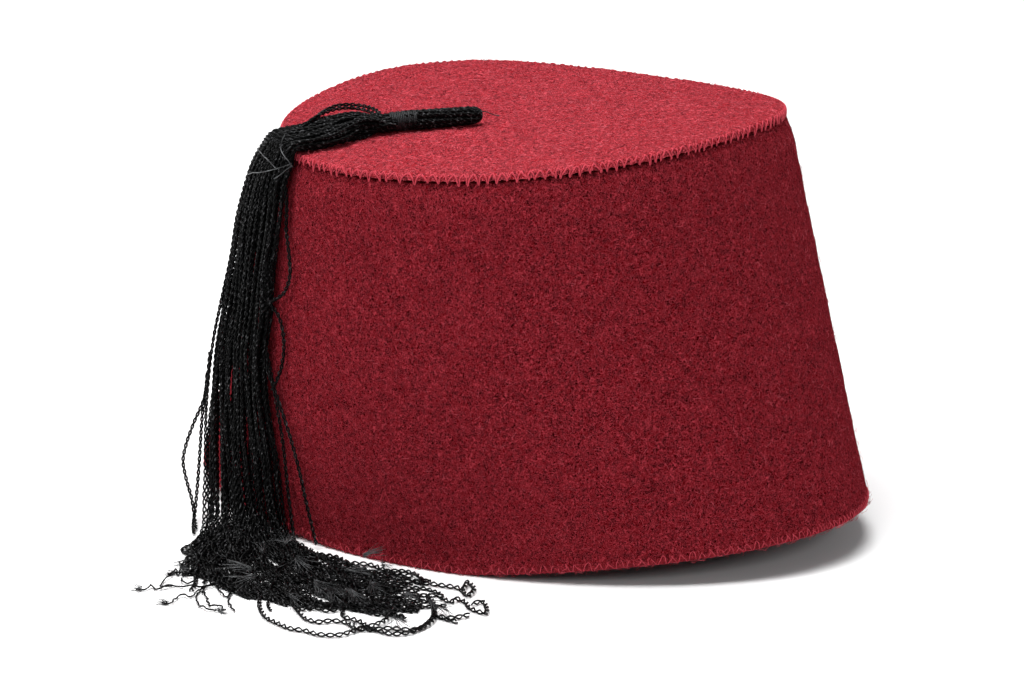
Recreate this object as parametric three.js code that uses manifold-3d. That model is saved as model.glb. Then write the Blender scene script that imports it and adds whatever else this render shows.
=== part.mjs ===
// A fez: a stiff felt hat with an oval open rim and a flat round top, and a black cord tassel laid over it.
// Millimetres, +Z up. The wearer faces -Y. The origin is the middle of the head opening, level with the
// surface that the hat rests on.

import * as THREE from 'three';
import { mergeVertices } from 'three/addons/utils/BufferGeometryUtils.js';
import Module from 'manifold-3d';

const wasm = await Module();
wasm.setup();

// Felt and fit
const feltThickness = 2.2;
const gap = 0.3;
const sidesAround = 96;

// Open rim: an oval whose front and back ends lift off the surface, with a flat stretch at each side
const rim = {
  halfLength: 108,
  halfWidth: 72.4,
  roundness: 1.93, // 2 is a true ellipse, more is squarer
  frontLift: 11,
  backLift: 5.5,
  restingShare: 0.17, // share of the half length, from the middle, that lies on the surface
  liftSoftness: 0.05,
};

// Crown: nearly round and a little warped, as soft use leaves it
const crown = {
  halfSize: 70.8,
  roundness: 2.35,
  centre: new THREE.Vector2(1.2, -1.7),
  height: 118,
  tiltToFront: 1.3,
  tiltToSide: 2.2, // towards +X
  saddle: 2.3,
  diagonalWarp: 3.3,
  shoulderInset: 1.3, // how far the side wall curves in below the crown seam
  shoulderDrop: 12, // how far below the seam that curve starts
};

// Rows of each felt skin: shares of the wall's height, and of the disc's size with the drop below its top
const wallShares = [0, 0.45, 0.89, 0.95, 1];
const innerShares = [1, 0.89, 0.45, 0];
const discTop = [
  { share: 0.35, drop: 0 },
  { share: 0.7, drop: 0 },
  { share: 0.982, drop: 0 },
  { share: 0.995, drop: 0.35 },
  { share: 1, drop: 1 },
];
const discUnder = [
  { share: 0.994, drop: feltThickness },
  { share: 0.6, drop: feltThickness },
];

// Tassel: rows along the hank from the fold of its loops, on the crown
const hank = [
  { x: -17.2, y: 4.8, halfWidth: 1.5, halfDepth: 1.4 },
  { x: -17.9, y: 6.6, halfWidth: 2.6, halfDepth: 2.4 },
  { x: -21.8, y: 13.2, halfWidth: 3.0, halfDepth: 2.7 },
  { x: -26.6, y: 19.0, halfWidth: 2.8, halfDepth: 2.7 },
  { x: -28.4, y: 21.1, halfWidth: 2.5, halfDepth: 2.5 },
  { x: -33.8, y: 27.1, halfWidth: 2.5, halfDepth: 2.5 },
  { x: -35.8, y: 29.4, halfWidth: 3.2, halfDepth: 2.6 },
  { x: -38.2, y: 32.2, halfWidth: 3.6, halfDepth: 2.3 },
];
const hankSides = 10;
const hankHeight = 3.85; // middle of the hank above the crown, so that the binding clears the felt
const binding = { fromX: -28.8, toX: -33.4, thickness: 0.7, sides: 16, turns: 5 };
const neckRow = 4; // the binding lies between this row of the hank and the next

// Rows of the fanned part on the crown, then of the hanging part on the side wall
const fan = [
  { x: -33.2, y: 26.6, halfWidth: 1.0, layer: 1.0, girth: 1.0, lift: 2.3 },
  { x: -38.2, y: 32.4, halfWidth: 4.0, layer: 1.6, girth: 1.4, lift: 0.8 },
  { x: -47.0, y: 39.8, halfWidth: 7.8, layer: 1.6, girth: 1.7, lift: 0.1 },
];
const overEdge = { angle: 230.5, halfWidth: 10.5, layer: 1.2, girth: 1.7, out: 0.8, up: 0.5 };
const hanging = [
  { share: 0.92, angle: 230.5, halfWidth: 12.5, layer: 2.4, girth: 1.9, out: 1.2 },
  { share: 0.74, angle: 229, halfWidth: 15, layer: 2.6, girth: 2.1, out: 0.6 },
  { share: 0.42, angle: 227, halfWidth: 18, layer: 2.5, girth: 2.1, out: 0.5 },
  { share: 0.18, angle: 231.5, halfWidth: 17.5, layer: 2.4, girth: 2.2, out: 0.5 },
  { share: 0.07, angle: 235, halfWidth: 14.5, layer: 2.4, girth: 2.4, out: 1.6 },
];
const wallRadius = 78; // turns a width on the wall into an angle

// Locks: place across the tassel from -1 to 1, layer 0 on the felt or 1 above it, and where each tip lies.
// bow is how far the lock swings out to its left on the surface before its tip.
const locks = [
  { across: -1.0, layer: 0, tipX: -111, tipY: 41, bow: 2 },
  { across: -0.86, layer: 1, tipX: -116, tipY: 32, bow: 3 },
  { across: -0.7, layer: 0, tipX: -118, tipY: 24, bow: 7 },
  { across: -0.54, layer: 1, tipX: -118, tipY: 15, bow: 9 },
  { across: -0.38, layer: 0, tipX: -118, tipY: 6, bow: 11 },
  { across: -0.22, layer: 1, tipX: -114, tipY: -4, bow: 12 },
  { across: -0.06, layer: 0, tipX: -112, tipY: -12, bow: 14 },
  { across: 0.1, layer: 1, tipX: -106, tipY: -24, bow: 14 },
  { across: 0.26, layer: 0, tipX: -98, tipY: -27, bow: 13 },
  { across: 0.42, layer: 1, tipX: -100, tipY: -15, bow: 12 },
  { across: 0.58, layer: 0, tipX: -90, tipY: -20, bow: 9 },
  { across: 0.74, layer: 1, tipX: -89, tipY: -8, bow: 9 },
  { across: 0.88, layer: 0, tipX: -84, tipY: -14, bow: 6 },
  { across: 1.0, layer: 1, tipX: -83, tipY: 4, bow: 4 },
];
const lockSides = 6;
const stepsPerRow = 2;
const tipGirth = 1.3;
const pileGirth = 2.8;
const footReach = 9; // how far out from the rim a lock meets the surface
const pileStep = 2.4; // how much higher the upper layer lies in the pile

const up = new THREE.Vector3(0, 0, 1);

// Signed power that squares an ellipse up: an exponent of 2 leaves it as it is
function squared(value, roundness) {
  return Math.sign(value) * Math.abs(value) ** (2 / roundness);
}

// Point of an oval in plan. Angle 0 is its front, at -Y, and a quarter turn leads to +X.
function ovalPoint(angle, halfWidth, halfLength, roundness) {
  const x = halfWidth * squared(Math.sin(angle), roundness);
  const y = -halfLength * squared(Math.cos(angle), roundness);
  return new THREE.Vector2(x, y);
}

// Height of the rim's cut edge: zero along the resting stretches, then rising evenly to each end
function rimLift(angle) {
  const along = Math.cos(angle);
  const share = Math.max(0, (Math.abs(along) - rim.restingShare) / (1 - rim.restingShare));
  const soft = rim.liftSoftness;
  const rise = (Math.hypot(share, soft) - soft) / (Math.hypot(1, soft) - soft);
  return (along > 0 ? rim.frontLift : rim.backLift) * rise;
}

// Height of the crown's top face over a point in plan
function crownHeight(x, y) {
  const across = (x - crown.centre.x) / crown.halfSize;
  const along = (y - crown.centre.y) / crown.halfSize;
  const tilt = crown.tiltToSide * across - crown.tiltToFront * along;
  const warp = crown.saddle * (along * along - across * across) + crown.diagonalWarp * across * along;
  return crown.height + tilt + warp;
}

// Point of the crown's outline, grown outward, at a drop below the top face
function crownEdge(angle, grow, drop) {
  const size = crown.halfSize + grow;
  const plan = ovalPoint(angle, size, size, crown.roundness).add(crown.centre);
  return new THREE.Vector3(plan.x, plan.y, crownHeight(plan.x, plan.y) - drop);
}

function rimEdge(angle, grow) {
  const plan = ovalPoint(angle, rim.halfWidth + grow, rim.halfLength + grow, rim.roundness);
  return new THREE.Vector3(plan.x, plan.y, rimLift(angle));
}

// Point of the side wall: share 0 is the rim and 1 the seam. It runs straight and curves in near the top.
function wallPoint(angle, share, grow) {
  const seamDrop = feltThickness + gap;
  const straightTop = crownEdge(angle, grow + crown.shoulderInset, seamDrop);
  const seam = crownEdge(angle, grow, seamDrop);
  const point = rimEdge(angle, grow).lerp(straightTop, share);
  const shoulderStart = 1 - crown.shoulderDrop / crown.height;
  const curve = Math.max(0, (share - shoulderStart) / (1 - shoulderStart)) ** 2;
  return point.addScaledVector(seam.sub(straightTop), curve);
}

// Level direction that points away from the side wall
function wallOutward(angle) {
  const step = 0.01;
  const along = wallPoint(angle + step, 0.5, 0).sub(wallPoint(angle - step, 0.5, 0));
  return along.cross(up).setZ(0).normalize();
}

function ringOf(count, pointAt) {
  return Array.from({ length: count }, (_, i) => pointAt((i / count) * Math.PI * 2));
}

function triangleVolume(a, b, c) {
  return a.dot(b.clone().cross(c)) / 6;
}

// Closed skin through rings of equal count: either the last ring joins the first, or both ends are capped
function skin(rings, endless = false) {
  const count = rings[0].length;
  const points = rings.flat();
  const faces = [];
  const bands = endless ? rings.length : rings.length - 1;
  for (let row = 0; row < bands; row++) {
    const here = row * count;
    const next = ((row + 1) % rings.length) * count;
    for (let i = 0; i < count; i++) {
      const j = (i + 1) % count;
      faces.push([here + i, here + j, next + j], [here + i, next + j, next + i]);
    }
  }
  if (!endless) {
    const last = (rings.length - 1) * count;
    const middleOf = (ring) => ring.reduce((sum, p) => sum.add(p), new THREE.Vector3()).divideScalar(count);
    points.push(middleOf(rings[0]), middleOf(rings[rings.length - 1]));
    for (let i = 0; i < count; i++) {
      const j = (i + 1) % count;
      faces.push([points.length - 2, j, i], [points.length - 1, last + i, last + j]);
    }
  }
  const volume = faces.reduce((sum, f) => sum + triangleVolume(points[f[0]], points[f[1]], points[f[2]]), 0);
  const outward = volume > 0 ? faces : faces.map(([a, b, c]) => [a, c, b]);
  const geometry = new THREE.BufferGeometry();
  geometry.setAttribute('position', new THREE.Float32BufferAttribute(points.flatMap((p) => p.toArray()), 3));
  geometry.setIndex(outward.flat());
  return geometry;
}

function toSolid(geometry) {
  const bare = geometry.clone();
  bare.deleteAttribute('normal');
  bare.deleteAttribute('uv');
  const merged = mergeVertices(bare);
  const vertProperties = new Float32Array(merged.attributes.position.array);
  const triVerts = new Uint32Array(merged.index.array);
  return new wasm.Manifold(new wasm.Mesh({ numProp: 3, vertProperties, triVerts }));
}

function toGeometry(solid) {
  const mesh = solid.getMesh();
  const geometry = new THREE.BufferGeometry();
  geometry.setAttribute('position', new THREE.Float32BufferAttribute(mesh.vertProperties, 3));
  geometry.setIndex(Array.from(mesh.triVerts));
  return geometry;
}

function wallRing(share, grow) {
  return ringOf(sidesAround, (angle) => wallPoint(angle, share, grow));
}

// Side wall: outer rows up, then inner rows down, joined into one endless section
function sideWall() {
  const outer = wallShares.map((share) => wallRing(share, 0));
  const inner = innerShares.map((share) => wallRing(share, -feltThickness));
  return skin([...outer, ...inner], true);
}

// Ring of the crown disc at a share of its size, with a drop below the top face
function discRing(share, drop, grow = 0) {
  return ringOf(sidesAround, (angle) => {
    const edge = crownEdge(angle, grow, 0);
    const x = THREE.MathUtils.lerp(crown.centre.x, edge.x, share);
    const y = THREE.MathUtils.lerp(crown.centre.y, edge.y, share);
    return new THREE.Vector3(x, y, crownHeight(x, y) - drop);
  });
}

// Crown disc: the top face, its edge pressed round by the stitches, and the under face
function topDisc() {
  return skin([...discTop, ...discUnder].map(({ share, drop }) => discRing(share, drop)));
}

// The hat's outer form as one filled solid, grown all over, that clears the room for what lies on the felt
function clearance() {
  const below = ringOf(sidesAround, (angle) => rimEdge(angle, gap).add(new THREE.Vector3(0, 0, -gap)));
  const sides = wallShares.map((share) => wallRing(share, gap));
  const top = discTop.map(({ share, drop }) => discRing(share, drop - gap, gap)).reverse();
  return toSolid(skin([below, ...sides, ...top]));
}

// Tube of a few sides through points, each with its own half width and half depth. Its first ring stands
// level, and the others follow the bends of the route without twisting.
function tube(stations, sides) {
  const across = new THREE.Vector3();
  const rings = stations.map(({ point, halfWidth, halfDepth }, i) => {
    const before = stations[Math.max(0, i - 1)].point;
    const after = stations[Math.min(stations.length - 1, i + 1)].point;
    const forward = after.clone().sub(before).normalize();
    if (i === 0) across.crossVectors(forward, up);
    across.addScaledVector(forward, -across.dot(forward)).normalize();
    const sideways = across.clone();
    const raised = sideways.clone().cross(forward);
    return ringOf(sides, (turn) =>
      point
        .clone()
        .addScaledVector(sideways, halfWidth * Math.cos(turn))
        .addScaledVector(raised, halfDepth * Math.sin(turn))
    );
  });
  return skin(rings);
}

function hankPoint(x, y, above) {
  return new THREE.Vector3(x, y, crownHeight(x, y) + above);
}

// The hank of loops, from their fold to just past the binding
function hankSolid() {
  const stations = hank.map((row) => ({ ...row, point: hankPoint(row.x, row.y, hankHeight) }));
  return toSolid(tube(stations, hankSides));
}

// Straight line through the two rows of the hank that the binding lies between
function bindingLine(x) {
  const from = hank[neckRow];
  const to = hank[neckRow + 1];
  const share = (x - from.x) / (to.x - from.x);
  const start = hankPoint(from.x, from.y, hankHeight);
  return start.lerp(hankPoint(to.x, to.y, hankHeight), share);
}

// Wound sleeve round the neck: its outside swells at each turn of thread, and its bore is plain
function windingSkin(extra) {
  const start = bindingLine(binding.fromX);
  const end = bindingLine(binding.toX);
  const forward = end.clone().sub(start).normalize();
  start.addScaledVector(forward, -extra);
  end.addScaledVector(forward, extra);
  const across = forward.clone().cross(up).normalize();
  const raised = across.clone().cross(forward);
  const bore = hank[neckRow].halfWidth + gap - extra;
  const outside = bore + binding.thickness + 2 * extra;
  const circle = (centre, radius) =>
    ringOf(binding.sides, (turn) =>
      centre
        .clone()
        .addScaledVector(across, radius * Math.cos(turn))
        .addScaledVector(raised, radius * Math.sin(turn))
    );
  const rows = [];
  const swells = binding.turns * 2;
  for (let i = 0; i <= swells; i++) {
    const radius = outside - (extra === 0 && i % 2 === 0 ? binding.thickness / 3 : 0);
    rows.push(circle(start.clone().lerp(end, i / swells), radius));
  }
  rows.push(circle(end, bore), circle(start, bore));
  return skin(rows, true);
}

// Route of one lock: over the crown, over its edge, down the wall and out along the surface to its tip
function lockRows(lock) {
  const rows = [];
  const add = (point, girth) => rows.push({ point, girth });
  const turned = (row, radius) =>
    THREE.MathUtils.degToRad(row.angle) + (lock.across * row.halfWidth) / radius;

  const direction = new THREE.Vector3(fan[2].x - fan[0].x, fan[2].y - fan[0].y, 0).normalize();
  const side = up.clone().cross(direction);
  for (const row of fan) {
    const plan = new THREE.Vector3(row.x, row.y, 0).addScaledVector(side, lock.across * row.halfWidth);
    add(hankPoint(plan.x, plan.y, row.girth + row.lift + lock.layer * row.layer), row.girth);
  }

  const edgeAngle = turned(overEdge, crown.halfSize);
  const standOff = (overEdge.girth + lock.layer * overEdge.layer) * Math.SQRT1_2;
  const edge = crownEdge(edgeAngle, 0, 0).addScaledVector(wallOutward(edgeAngle), standOff + overEdge.out);
  add(edge.addScaledVector(up, standOff + overEdge.up), overEdge.girth);

  for (const row of hanging) {
    const angle = turned(row, wallRadius);
    const standOut = row.girth + row.out + lock.layer * row.layer;
    add(wallPoint(angle, row.share, 0).addScaledVector(wallOutward(angle), standOut), row.girth);
  }

  const footAngle = turned(hanging[hanging.length - 1], wallRadius);
  const height = pileGirth * 0.75 + lock.layer * pileStep;
  const foot = rimEdge(footAngle, 0).setZ(height);
  foot.addScaledVector(wallOutward(footAngle), footReach + lock.layer * pileStep);
  const tip = new THREE.Vector3(lock.tipX, lock.tipY, tipGirth);
  const left = tip.clone().sub(foot).setZ(0).normalize().cross(up);
  const middle = foot.clone().lerp(tip, 0.55).addScaledVector(left, lock.bow).setZ(height);
  add(foot, pileGirth);
  add(middle, pileGirth);
  add(tip, tipGirth);
  return rows;
}

// Finer stations along a smooth curve through the rows of one lock
function smoothStations(rows) {
  const curve = new THREE.CatmullRomCurve3(rows.map((row) => row.point), false, 'centripetal');
  const steps = (rows.length - 1) * stepsPerRow;
  return Array.from({ length: steps + 1 }, (_, i) => {
    const place = i / stepsPerRow;
    const from = rows[Math.floor(place)].girth;
    const girth = THREE.MathUtils.lerp(from, rows[Math.ceil(place)].girth, place % 1);
    return { point: curve.getPoint(i / steps), halfWidth: girth, halfDepth: girth };
  });
}

// Tassel: the locks fused to the hank, cleared of the felt, of the binding and of what lies below the surface
function tassel() {
  let solid = hankSolid();
  for (const lock of locks) {
    solid = solid.add(toSolid(tube(smoothStations(lockRows(lock)), lockSides)));
  }
  const depth = 20;
  const under = new THREE.BoxGeometry(600, 600, depth).translate(0, 0, -depth / 2);
  solid = solid.subtract(clearance()).subtract(toSolid(windingSkin(gap))).subtract(toSolid(under));
  const bodies = solid.decompose().sort((a, b) => b.volume() - a.volume());
  return toGeometry(bodies[0]);
}

function piece(name, geometry, color, roughness) {
  const material = new THREE.MeshStandardMaterial({ color, roughness, metalness: 0 });
  geometry.computeVertexNormals();
  const mesh = new THREE.Mesh(geometry, material);
  mesh.name = name;
  return mesh;
}

const hat = new THREE.Group();
hat.add(
  piece('side_wall', sideWall(), 0x861a2b, 0.95),
  piece('top_disc', topDisc(), 0xb32f45, 0.95),
  piece('tassel', tassel(), 0x0b0b0d, 0.5),
  piece('tassel_binding', windingSkin(0), 0x141416, 0.55)
);

export default hat;
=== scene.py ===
import bpy
import numpy as np
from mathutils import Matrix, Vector


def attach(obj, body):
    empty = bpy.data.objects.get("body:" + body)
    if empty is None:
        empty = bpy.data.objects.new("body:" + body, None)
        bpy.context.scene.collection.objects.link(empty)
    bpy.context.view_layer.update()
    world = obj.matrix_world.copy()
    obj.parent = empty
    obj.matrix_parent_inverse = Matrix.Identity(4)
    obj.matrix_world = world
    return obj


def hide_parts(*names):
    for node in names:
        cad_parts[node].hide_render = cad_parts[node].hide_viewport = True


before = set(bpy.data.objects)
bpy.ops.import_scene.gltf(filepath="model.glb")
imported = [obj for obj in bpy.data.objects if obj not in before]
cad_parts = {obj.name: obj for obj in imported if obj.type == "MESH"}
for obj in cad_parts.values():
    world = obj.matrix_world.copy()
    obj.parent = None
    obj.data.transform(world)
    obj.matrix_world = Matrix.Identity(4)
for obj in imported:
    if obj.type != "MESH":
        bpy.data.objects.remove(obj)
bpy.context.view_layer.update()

# Studio: a sweep of white paper under a broad soft light and two small ones, seen from the hat's front right
# corner. The camera stands a metre off, a little above the crown.
camera_azimuth, camera_elevation = np.radians(-60.43), np.radians(14.82)
camera_distance = 1.0
looked_at = Vector((0.0, 0.0, 0.059))
towards_camera = Vector((
    np.sin(camera_azimuth) * np.cos(camera_elevation),
    -np.cos(camera_azimuth) * np.cos(camera_elevation),
    np.sin(camera_elevation),
))
camera = bpy.data.objects.new("camera", bpy.data.cameras.new("camera"))
camera.data.sensor_width = 36.0
camera.data.lens = 118.25
camera.data.shift_x = -0.01445
camera.data.shift_y = -0.03125
camera.location = looked_at + towards_camera * camera_distance
camera.rotation_mode = "QUATERNION"
camera.rotation_quaternion = (-towards_camera).to_track_quat("-Z", "Y")
bpy.context.collection.objects.link(camera)
bpy.context.scene.camera = camera
bpy.context.scene.view_settings.view_transform = "Standard"

studio = bpy.data.worlds.new("studio")
studio.use_nodes = True
studio.node_tree.nodes["Background"].inputs["Color"].default_value = (0.97, 0.98, 1.0, 1.0)
studio.node_tree.nodes["Background"].inputs["Strength"].default_value = 0.18
bpy.context.scene.world = studio


def soft_light(name, place, aim, size, power):
    """A square softbox at a place in metres, turned towards a point."""
    light = bpy.data.objects.new(name, bpy.data.lights.new(name, "AREA"))
    light.data.size = size
    light.data.energy = power
    light.location = place
    light.rotation_mode = "QUATERNION"
    light.rotation_quaternion = (Vector(aim) - Vector(place)).to_track_quat("-Z", "Y")
    bpy.context.collection.objects.link(light)


soft_light("overhead_softbox", (-0.1, 0.15, 1.3), (0.0, 0.0, 0.0), 1.0, 27.0)
soft_light("left_softbox", (-0.95, 0.75, 1.05), (0.0, 0.0, 0.05), 0.25, 7.0)
soft_light("right_softbox", (-0.6, -1.4, 0.9), (0.0, 0.0, 0.05), 0.5, 5.0)


class Dye:
    """One value on its way through a material's nodes. Arithmetic on it adds Math nodes."""

    def __init__(self, tree, socket=None):
        self.tree = tree
        self.socket = socket

    def node(self, kind, settings, inputs, output=0):
        """Any other node: its type, its settings first, then its sockets' values or links."""
        made = self.tree.nodes.new(kind)
        for name, value in settings.items():
            setattr(made, name, value)
        for name, value in inputs.items():
            if isinstance(value, Dye):
                self.tree.links.new(value.socket, made.inputs[name])
            else:
                made.inputs[name].default_value = value
        return Dye(self.tree, made.outputs[output])

    def math(self, operation, *others, clamp=False):
        """One Math node on this value and up to two more."""
        values = dict(enumerate((self,) + others))
        return self.node("ShaderNodeMath", {"operation": operation, "use_clamp": clamp}, values)

    def __add__(self, other):
        return self.math("ADD", other)

    def __sub__(self, other):
        return self.math("SUBTRACT", other)

    def __mul__(self, other):
        return self.math("MULTIPLY", other)

    def __rsub__(self, other):
        return (self * -1.0).math("ADD", other)

    __radd__ = __add__
    __rmul__ = __mul__

    def clamped(self):
        """This value, held between 0 and 1."""
        return self.math("ADD", 0.0, clamp=True)

    def noise(self, scale, detail=2.0, distortion=0.0):
        """Noise over this place, with a scale in bumps for each metre."""
        sockets = {"Vector": self, "Scale": scale, "Detail": detail, "Distortion": distortion}
        return self.node("ShaderNodeTexNoise", {}, sockets)

    def blend(self, first, second):
        """A colour between two, with this value as the share of the second."""
        return self.node("ShaderNodeMix", {"data_type": "RGBA"}, {0: self, 6: first, 7: second}, 2)

    def bump(self, strength, distance):
        """A normal tilted as if this value were a height, up to a distance in metres."""
        return self.node("ShaderNodeBump", {}, {"Height": self, "Strength": strength, "Distance": distance})


def new_material(name, finish):
    """A material whose shader has fixed settings for its finish; gives the material and its first Dye."""
    material = bpy.data.materials.new(name)
    material.use_nodes = True
    shader = material.node_tree.nodes["Principled BSDF"]
    for socket, value in finish.items():
        shader.inputs[socket].default_value = value
    return material, Dye(material.node_tree)


def dress(material, socket, dye):
    """Links a value to a socket of the material's shader."""
    shader = material.node_tree.nodes["Principled BSDF"]
    material.node_tree.links.new(dye.socket, shader.inputs[socket])


paper, dye = new_material("white_paper", {"Roughness": 0.9, "Emission Strength": 1.0})
place = dye.node("ShaderNodeTexCoord", {}, {}, "Object")
dress(paper, "Base Color", place.noise(3.0).blend((0.93, 0.93, 0.93, 1.0), (0.95, 0.95, 0.95, 1.0)))
# Away from the hat the paper glows, so that it stays white up to the picture's edge
distance = place.node("ShaderNodeVectorMath", {"operation": "LENGTH"}, {0: place}, "Value")
glow = ((distance - 0.3) * 0.45).clamped()
dress(paper, "Emission Color", glow.blend((0.0, 0.0, 0.0, 1.0), (1.0, 1.0, 1.0, 1.0)))
bpy.ops.mesh.primitive_plane_add(size=12.0)
floor = bpy.context.object
floor.name = "floor"
floor.data.materials.append(paper)

# Side wall: one thick piece of wool felt, blocked to an oval at the head opening and to a circle at the
# crown, where it curves in to the seam. The opening's two ends lift a little off the surface.
# Every length from here on is in millimetres.
MM = 0.001
felt_thickness = 2.2
rim_half_width, rim_half_length = 72.4, 108.0
rim_roundness = 1.93
front_lift, back_lift = 11.0, 5.5
resting_share, lift_softness = 0.17, 0.05
crown_radius, crown_top = 70.8, 118.0
crown_x, crown_y = 1.2, -1.7
crown_roundness = 2.35
# The wall runs straight to this far outside the crown, but curves in from this share of its height
shoulder_reach, shoulder_from = 1.3, 0.8983
seam_gap = 0.06
stitches_round = 164
columns_a_stitch = 4
outside_rows, inside_rows = 48, 12
random = np.random.default_rng(11)


def squared(value, roundness):
    """Signed power 2 / roundness, which squares an ellipse up as the roundness passes 2."""
    return np.sign(value) * np.abs(value) ** (2 / roundness)


def rim_point(turn, grow):
    """Oval of the rim's half sizes, grown outwards. Its height is nothing on the resting stretch, and from
    there a straight ramp to each end, rounded where it starts. A turn of 0 is the front."""
    x = (rim_half_width + grow) * squared(np.sin(turn), rim_roundness)
    y = -(rim_half_length + grow) * squared(np.cos(turn), rim_roundness)
    share = np.maximum(0.0, (np.abs(np.cos(turn)) - resting_share) / (1 - resting_share))
    ramp = np.hypot(share, lift_softness) - lift_softness
    ramp = ramp / (np.hypot(1.0, lift_softness) - lift_softness)
    return np.stack([x, y, np.where(np.cos(turn) > 0, front_lift, back_lift) * ramp], -1)


def crown_height(x, y):
    """Flat top, tilted by a plane and warped like a saddle, by products of the places across and along."""
    across, along = (x - crown_x) / crown_radius, (y - crown_y) / crown_radius
    tilt = 2.2 * across - 1.3 * along
    return crown_top + tilt + 2.3 * (along**2 - across**2) + 3.3 * across * along


def crown_point(turn, grow, drop):
    """Slightly squared circle round the crown's middle, grown outwards, at a drop below its top face."""
    x = crown_x + (crown_radius + grow) * squared(np.sin(turn), crown_roundness)
    y = crown_y - (crown_radius + grow) * squared(np.cos(turn), crown_roundness)
    return np.stack([x, y, crown_height(x, y) - drop], -1)


def wall_point(turn, share, grow):
    """Straight line from the rim to a place just outside the crown, plus a curve inwards to the crown's
    outline that grows as a square over the top 12 mm."""
    share = np.asarray(share)[..., None]
    low = rim_point(turn, grow)
    top = crown_point(turn, grow + shoulder_reach, felt_thickness + seam_gap)
    seam = crown_point(turn, grow, felt_thickness + seam_gap)
    curve = np.maximum(0.0, (share - shoulder_from) / (1 - shoulder_from)) ** 2
    return low + (top - low) * share + (seam - top) * curve


def wall_outward(turn):
    """Level direction away from the wall: across its run at half height."""
    run = wall_point(turn + 0.01, 0.5, 0.0) - wall_point(turn - 0.01, 0.5, 0.0)
    out = np.stack([run[..., 1], -run[..., 0], np.zeros_like(run[..., 0])], -1)
    return out / np.linalg.norm(out, axis=-1, keepdims=True)


def waves(points, count, longest, shortest):
    """Sum of random sine waves through space, with lengths in millimetres and values of about one."""
    size = longest * (shortest / longest) ** random.random(count)
    heading = random.normal(size=(count, 3))
    heading /= np.linalg.norm(heading, axis=1, keepdims=True)
    phase = random.random(count) * 2 * np.pi
    swing = np.tensordot(points, heading * (2 * np.pi / size)[:, None], axes=(-1, 1)) + phase
    return np.sin(swing).sum(-1) / np.sqrt(count / 2)


def grid_faces(rows, columns, closed_rows):
    """Squares of a grid whose columns close on themselves, and whose rows may."""
    row = np.arange(rows if closed_rows else rows - 1)[:, None]
    column = np.arange(columns)[None, :]
    after_row, after_column = (row + 1) % rows, (column + 1) % columns
    corners = [
        row * columns + column,
        row * columns + after_column,
        after_row * columns + after_column,
        after_row * columns + column,
    ]
    return np.stack(np.broadcast_arrays(*corners), -1).reshape(-1, 4)


def add_piece(name, points, faces, material, slot, stands_for=()):
    """Makes a mesh piece from points in millimetres and lists of faces, and fixes it to the hat."""
    mesh = bpy.data.meshes.new(name)
    points = np.asarray(points, dtype=np.float32).reshape(-1, 3) * MM
    sizes = np.concatenate([np.full(len(part), part.shape[1]) for part in faces])
    corners = np.concatenate([part.ravel() for part in faces]).astype(np.int32)
    mesh.vertices.add(len(points))
    mesh.vertices.foreach_set("co", points.ravel())
    mesh.loops.add(len(corners))
    mesh.loops.foreach_set("vertex_index", corners)
    mesh.polygons.add(len(sizes))
    mesh.polygons.foreach_set("loop_start", np.concatenate([[0], np.cumsum(sizes)[:-1]]).astype(np.int32))
    mesh.polygons.foreach_set("use_smooth", np.ones(len(sizes), dtype=bool))
    mesh.update(calc_edges=True)
    mesh.materials.append(material)
    piece = bpy.data.objects.new(name, mesh)
    bpy.context.collection.objects.link(piece)
    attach(piece, "root")
    if stands_for:
        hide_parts(*stands_for)
    return piece


def felt(name, body, painted_pit_shade, highlight_and_cut_colour):
    """Wool felt: fibres with painted highlights over painted shade in pits, in soft blotches, paler where
    cut.
    """
    finish = {"Roughness": 0.95, "Specular IOR Level": 0.0, "Sheen Weight": 0.03, "Sheen Roughness": 0.4}
    finish["Sheen Tint"] = (1.0, 0.2, 0.25, 1.0)
    material, dye = new_material(name, finish)
    place = dye.node("ShaderNodeTexCoord", {}, {}, "Object")
    # The web, painted with highlights, is three nets of thin lines, each where a noise crosses its middle
    # value
    web = 0.0
    for scale, sharpness in ((550.0, 22.0), (850.0, 18.0), (1300.0, 15.0)):
        noise = place.noise(scale, 1.0, 2.0)
        web = web + (1.0 - (noise - 0.5).math("ABSOLUTE") * sharpness).clamped()
    web = (web * 0.8).clamped()
    lumps = place.noise(900.0, 3.0, 0.6)
    # Painted shade in the pits, where the lumps are low
    pit_shade_mask = ((0.535 - lumps) * 11.0).clamped()
    blotches = ((place.noise(110.0, 4.0) - 0.42) * 4.0).clamped()
    colour = (blotches * 0.45).blend(body, tuple(0.6 * part for part in body[:3]) + (1.0,))
    colour = pit_shade_mask.blend(colour, painted_pit_shade)
    # Painted highlights along the web of fibres
    colour = (web * 0.9).blend(colour, highlight_and_cut_colour)
    cut = dye.node("ShaderNodeAttribute", {"attribute_name": "cut_edge"}, {}, "Fac")
    colour = (cut * 0.3).blend(colour, highlight_and_cut_colour)
    dress(material, "Base Color", colour)
    dress(material, "Normal", (lumps * 0.6 + web * 0.4).bump(0.9, 0.0008))
    return material


side_felt = felt(
    "side_felt",
    body=(0.12, 0.0022, 0.0045, 1.0),
    painted_pit_shade=(0.011, 0.0003, 0.0006, 1.0),
    highlight_and_cut_colour=(0.43, 0.038, 0.054, 1.0),
)

around = np.linspace(0.0, 2 * np.pi, columns_a_stitch * stitches_round, endpoint=False)
quarter = np.linspace(0.0, np.pi / 2, 5)
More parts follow.
